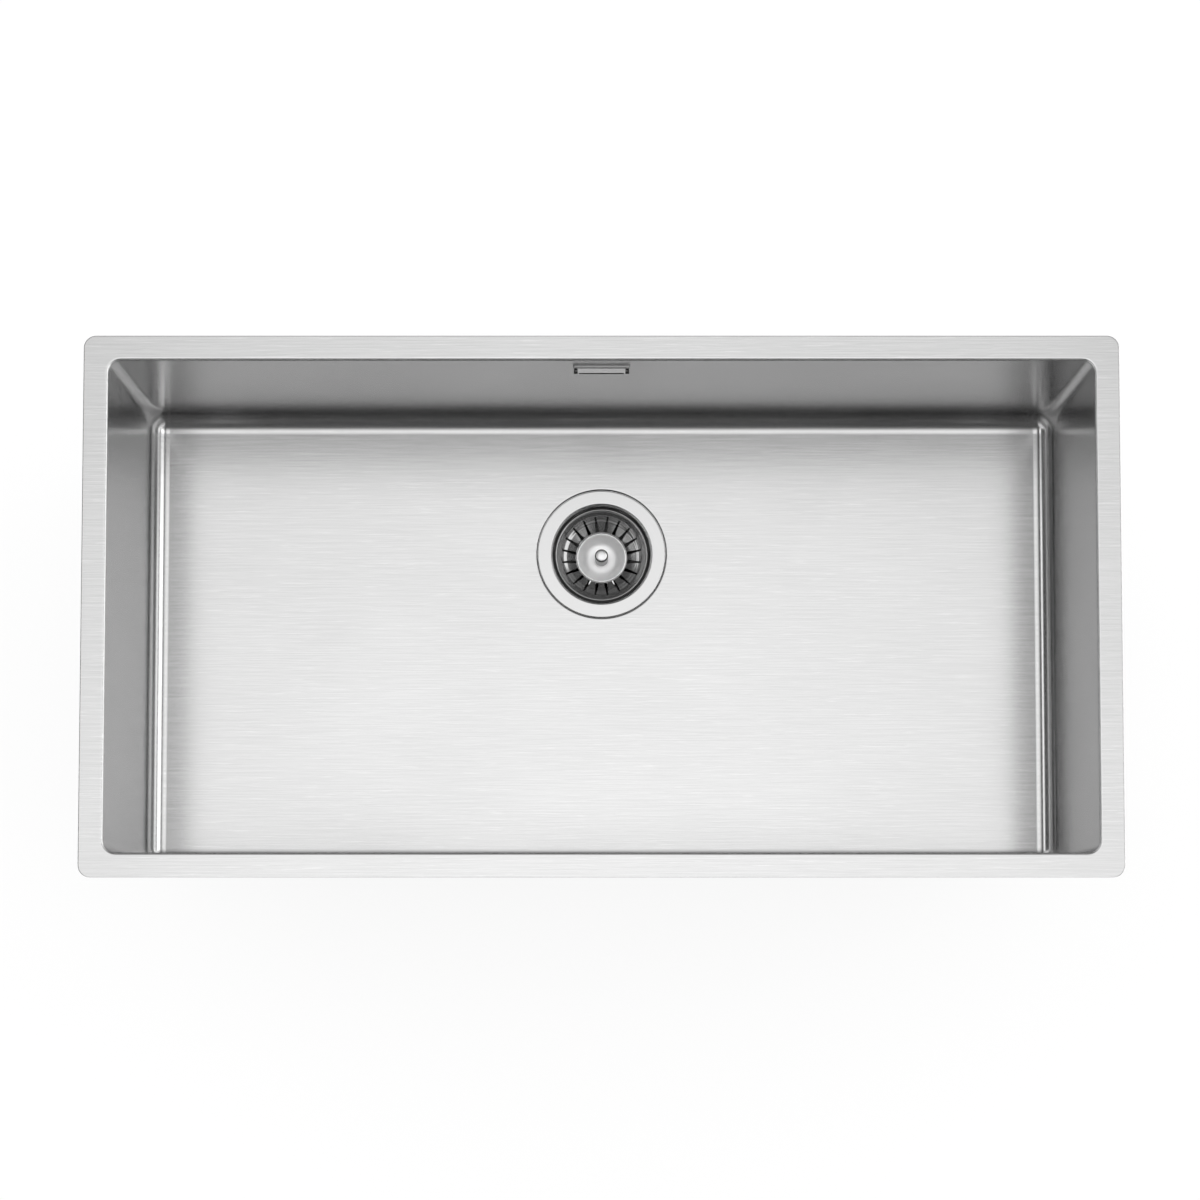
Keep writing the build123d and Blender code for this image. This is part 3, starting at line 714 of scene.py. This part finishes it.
choose("FACE", lambda face: face.normal.x > 0.9)
bpy.ops.transform.resize(value=(1, 0.50, 1), center_override=drain)
round_edges(upward, 0.00045, 2)
cut_slots(basket, slots, 20)
polished = strainer_steel("polished_dish", 0.0218, (0.34, 0.11, 0.20), (0.96, 0.45, 0.5))
finish_piece(basket, "slotted_dish", polished, "basket", "polished_steel", "strainer_basket")

dome = [(0.00285, -0.0290), (0.00585, -0.0290), (0.00585, -0.0098), (0.0058, -0.0089), (0.0055, -0.00815),
        (0.0050, -0.0077), (0.0044, -0.00742), (0.0034, -0.00722), (0.0020, -0.00707), (0.0008, -0.0070),
        (0.000005, -0.0070), (0.000005, -0.0180), (0.00285, -0.0180)]
# The knob's side, outside 4.8 mm, is painted near black as shade and dark reflection; its top is bright
# satin.
knob_steel = strainer_steel("knob_painted_dark_side", 0.0048, (0.07, 0.25, 0.3), (0.8, 0.3, 0.1))
finish_piece(turn(dome, 64), "domed_knob", knob_steel, "basket", "satin_steel", "basket_knob")
dress(sheet_steel, "basket_stem", "stem_ring")
lip = [(0.04255, -0.0056), (0.04265, -0.0064), (0.0423, -0.008), (0.0406, -0.0092), (0.0393, -0.0084),
       (0.0403, -0.007), (0.0409, -0.0058), (0.0416, -0.0053)]
finish_piece(turn(lip), "lip_seal", gasket_rubber, "basket", "black_rubber", "basket_seal")

# Centre screw: a hollow stainless screw that pulls the cup and the plastic body together, in a brass
# nut moulded into the body's hub.
dress(sheet_steel, "centre_screw")
brass = metal("turned_brass", (0.62, 0.43, 0.16, 1.0), (0.72, 0.52, 0.22, 1.0), 0.28, (1500, 1500, 1500),
              0.000004, drain_axis)
dress(brass, "hub_insert")

# Waste body: a black polypropylene funnel with a port for the overflow at its back, and the tail
# that the trap screws on.
moulded = soft("moulded_plastic", grey(0.010), grey(0.018), 0.42, 2600, 0.00003)
dress(moulded, "waste_body", "waste_tail")

# Overflow box: a black plastic moulding behind the rear wall, on a rubber gasket. Two black screws
# through the wall hold it there.
dress(moulded, "overflow_box")
black_zinc = metal("black_zinc", grey(0.04), grey(0.08), 0.35, (900, 900, 900), 0.000004)
dress(black_zinc, "overflow_screws")
gasket = start_block((-0.030, back, overflow_level - 0.013), (0.030, back + 0.0015, overflow_level + 0.013))
round_edges(through_wall, 0.003, 5)
choose("FACE", lambda face: abs(face.normal.y) > 0.9)
bpy.ops.mesh.inset(thickness=0.005, use_even_offset=True, use_individual=True)
bpy.ops.mesh.bridge_edge_loops()
bpy.ops.object.mode_set(mode="OBJECT")
smooth(gasket, 50)
finish_piece(gasket, "box_gasket", gasket_rubber, "root", "black_rubber", "overflow_gasket")

# Overflow hose: a ribbed polypropylene hose, held on a spigot at each end by a worm-drive clip. It
# comes down from the overflow box and goes round a quarter turn into the waste body's port.
pitch, valley, crest, cuff = 0.004, 0.011, 0.013, 0.0122
run_low, turn_radius, run_up, cuff_length = 0.0336, 0.046, 0.1078, 0.017
hose_length = run_low + turn_radius * math.pi / 2 + run_up
port = Vector((0.0, drain.y + 0.062, floor_z - 0.026))
turn_middle = port + Vector((0, run_low, turn_radius))


def hose_point(distance):
    """The middle of the hose and its direction, at a distance from the port."""
    if distance < run_low:
        return port + Vector((0, distance, 0)), Vector((0, 1, 0))
    angle = min((distance - run_low) / turn_radius, math.pi / 2)
    point = turn_middle + turn_radius * Vector((0, math.sin(angle), -math.cos(angle)))
    direction = Vector((0, math.cos(angle), math.sin(angle)))
    return point + direction * max(distance - run_low - turn_radius * math.pi / 2, 0), direction


# Radii along the hose: a cuff, then ribs one pitch apart, each up from its valley and back, and a cuff.
ribs = round((hose_length - 2 * cuff_length) / pitch)
first_rib, step = (hose_length - ribs * pitch) / 2, 0.0006
rib_shape = ((0.0, valley), (0.22, valley), (0.40, crest - 0.0003), (0.50, crest), (0.72, crest),
             (0.82, crest - 0.0003))
radii = [(first_rib - step, cuff)]
for rib in range(ribs):
    radii += [(first_rib + (rib + share) * pitch, radius) for share, radius in rib_shape]
radii += [(hose_length - first_rib, valley), (hose_length - first_rib + step, cuff), (hose_length, cuff)]
hose = start("circle", vertices=40, radius=cuff, location=port, rotation=(math.pi / 2, 0, 0))
radius, (middle, facing) = cuff, hose_point(0.0)
for distance, next_radius in radii:
    next_middle, next_facing = hose_point(distance)
    bpy.ops.mesh.extrude_edges_move()
    bpy.ops.transform.resize(value=(next_radius / radius,) * 3, center_override=middle)
    bpy.ops.transform.rotate(value=-math.atan2(facing.cross(next_facing).x, facing.dot(next_facing)),
                             orient_axis="X", center_override=middle)
    bpy.ops.transform.translate(value=next_middle - middle)
    radius, middle, facing = next_radius, next_middle, next_facing
bpy.ops.mesh.select_all(action="SELECT")
bpy.ops.mesh.normals_make_consistent(inside=False)
bpy.ops.object.mode_set(mode="OBJECT")
use_modifier(hose, "SOLIDIFY", thickness=0.001, offset=-1, use_even_offset=False)
smooth(hose, 50)
hose_plastic = soft("ribbed_hose_plastic", grey(0.022), grey(0.034), 0.45, 1800, 0.00003)
finish_piece(hose, "ribbed_hose", hose_plastic, "root", "hose_plastic", "overflow_hose")
dress(zinc, "hose_clips")

# Studio: a white table that keeps a soft shadow, under a broad lamp that only fills in what isn't
# metal. The steel mirrors the sky: a long soft box overhead, a wide one to the right, a narrow one to
# the left, a low one far right, and a white tent low down that rises at the corners.
table = start("plane", size=40, location=(0, 0, solids_box[0][2] - 0.0001))
bpy.ops.object.mode_set(mode="OBJECT")
table.name = "studio_table"
white, wire = new_material("white_table")
seen = sum(wire.add("ShaderNodeLightPath", out=f"Is {kind} Ray")
           for kind in ("Camera", "Glossy", "Transmission"))
glow_share = wire.math("MINIMUM", seen, 1.0) * 0.88
diffuse = wire.add("ShaderNodeBsdfDiffuse", None, {"Color": grey(0.92)})
glow = wire.add("ShaderNodeEmission", None, {"Color": grey(1.0), "Strength": 1.0})
finish_material(wire, wire.add("ShaderNodeMixShader", None, {0: glow_share, 1: diffuse, 2: glow}))
table.data.materials.append(white)

lamp = bpy.data.objects.new("fill_lamp", bpy.data.lights.new("fill_lamp", "SUN"))
lamp.data.angle = math.radians(100)
lamp.data.energy = 0.62 * math.pi
lamp.rotation_euler = (math.radians(-35), 0.0, 0.0)
lamp.visible_glossy = False
bpy.context.scene.collection.objects.link(lamp)

# The sky is drawn over the direction of each ray. The camera itself sees plain white.
world = bpy.data.worlds.new("studio")
bpy.context.scene.world = world
world.use_nodes = True
world.node_tree.nodes.clear()
wire = Wire(world.node_tree)
x, y, z = wire.add("ShaderNodeTexCoord", out="Generated").split()
side, depth = wire.math("ABSOLUTE", x), wire.math("ABSOLUTE", y)
overhead = (y.between(-0.55, -0.14) * (1 - y.between(0.05, 0.75)) * (1 - side.between(0.27, 0.43))
            * z.between(0.4, 0.8) * (1 - x * x * (2.0 + y * 6.0)))
end_boxes = y.between(-0.42, -0.32) * (1 - y.between(0.32, 0.46))
right = x.between(0.47, 0.52) * (1 - x.between(0.76, 0.82)) * end_boxes
left = side.between(0.56, 0.60) * (1 - side.between(0.68, 0.73)) * (1 - x.between(-0.1, 0.1)) * end_boxes
low_right = x.between(0.84, 0.88) * (1 - depth.between(0.4, 0.6))
tent = 1 - (z - (side * depth).between(0.22, 0.36) * 0.45).between(0.14, 0.24)
studio_light = overhead * 1.48 + right * 2.4 + left * 1.9 + low_right * 1.3 + tent + 0.08
watched = wire.add("ShaderNodeLightPath", out="Is Camera Ray")
background = wire.add("ShaderNodeBackground", None, {
    "Color": grey(1.0), "Strength": watched + (1 - watched) * studio_light})
output = wire.tree.nodes.new("ShaderNodeOutputWorld")
wire.tree.links.new(background.socket, output.inputs["Surface"])
